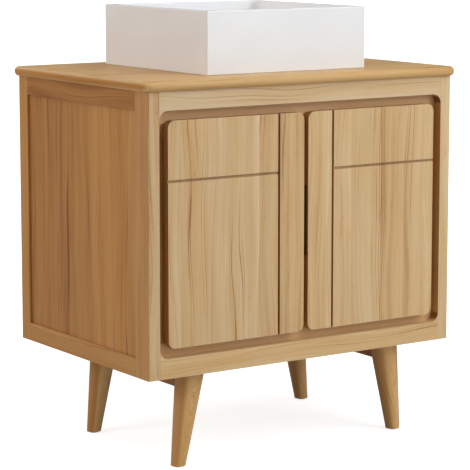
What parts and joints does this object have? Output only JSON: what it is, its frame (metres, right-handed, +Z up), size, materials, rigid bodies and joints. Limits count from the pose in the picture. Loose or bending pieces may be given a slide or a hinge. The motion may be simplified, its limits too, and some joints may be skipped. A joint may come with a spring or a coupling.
{
  "type": "vessel sink on vanity",
  "caption": "Square white vessel basin on a light wood vanity: bullnosed top, framed cabinet with round-cornered door opening, two slab doors with finger pull, splayed tapered legs.",
  "frame": {"origin": "on the floor under the middle of the top slab, which is the middle of the whole part's plan", "axes": "+X to the right of someone who faces the doors, +Y to the wall behind, +Z up; the doors face -Y"},
  "size_m": [0.75, 0.51, 0.881],
  "materials": {
    "top_wood": "satin clear lacquer, solid wood boards, grain along the width",
    "frame_wood": "satin clear lacquer, grain along each timber",
    "panel_wood": "satin clear lacquer, upright boards",
    "door_wood": "satin clear lacquer, upright boards",
    "leg_wood": "satin clear lacquer, turned",
    "carcass_board": "matt lacquered board",
    "ceramic": "gloss white glaze",
    "chrome": "polished",
    "hinge_bronze": "steel with an antique bronze plating",
    "steel": "zinc-plated",
    "trap_plastic": "moulded, slightly glossy",
    "seal_rubber": "soft, matt",
    "glide_plastic": "matt"
  },
  "bodies": {
    "cabinet": {"top_slab": "top_wood", "front_post_left": "frame_wood", "front_post_right": "frame_wood", "back_post_left": "frame_wood", "back_post_right": "frame_wood", "face_top_rail": "frame_wood", "face_bottom_rail": "frame_wood", "inner_stile_left": "frame_wood", "inner_stile_right": "frame_wood", "inner_top_rail": "frame_wood", "inner_bottom_rail": "frame_wood", "centre_mullion": "frame_wood", "side_top_rail_left": "frame_wood", "side_top_rail_right": "frame_wood", "side_bottom_rail_left": "frame_wood", "side_bottom_rail_right": "frame_wood", "back_fixing_rail": "frame_wood", "back_bottom_rail": "frame_wood", "side_panel_left": "panel_wood", "side_panel_right": "panel_wood", "leg_front_left": "leg_wood", "leg_front_right": "leg_wood", "leg_back_left": "leg_wood", "leg_back_right": "leg_wood", "leg_rail_left": "leg_wood", "leg_rail_right": "leg_wood", "back_panel": "carcass_board", "bottom_panel": "carcass_board", "shelf": "carcass_board", "basin": "ceramic", "waste_body": "chrome", "waste_nut": "chrome", "left_hinge_frame_leaves": "hinge_bronze", "left_hinge_pins": "hinge_bronze", "right_hinge_frame_leaves": "hinge_bronze", "right_hinge_pins": "hinge_bronze", "hinge_screws_frame": "hinge_bronze", "leg_bolts": "steel", "cabinet_screws": "steel", "shelf_pins": "steel", "magnetic_catches": "steel", "trap_inlet_nut": "trap_plastic", "trap_body": "trap_plastic", "trap_cup": "trap_plastic", "trap_outlet_nut": "trap_plastic", "outlet_pipe": "trap_plastic", "drain_seals": "seal_rubber", "basin_seal": "seal_rubber", "door_bumpers": "seal_rubber", "foot_glides": "glide_plastic"},
    "left_door": {"left_door": "door_wood", "left_hinge_door_leaves": "hinge_bronze", "left_door_screws": "hinge_bronze", "left_strike_plate": "steel"},
    "right_door": {"right_door": "door_wood", "right_hinge_door_leaves": "hinge_bronze", "right_door_screws": "hinge_bronze", "right_strike_plate": "steel"},
    "plug": {"waste_plug": "chrome", "plug_stem": "chrome"}
  },
  "joints": [
    {"name": "left_door_hinge", "type": "hinge", "parent": "cabinet", "child": "left_door", "pos_m": [-0.3185, -0.2265, 0.4645], "axis": [0, 0, -1], "range_deg": [0, 90]},
    {"name": "right_door_hinge", "type": "hinge", "parent": "cabinet", "child": "right_door", "pos_m": [0.3185, -0.2265, 0.4645], "axis": [0, 0, 1], "range_deg": [0, 90]},
    {"name": "plug_slide", "type": "slide", "parent": "cabinet", "child": "plug", "axis": [0, 0, 1], "range_m": [0, 0.008]}
  ]
}
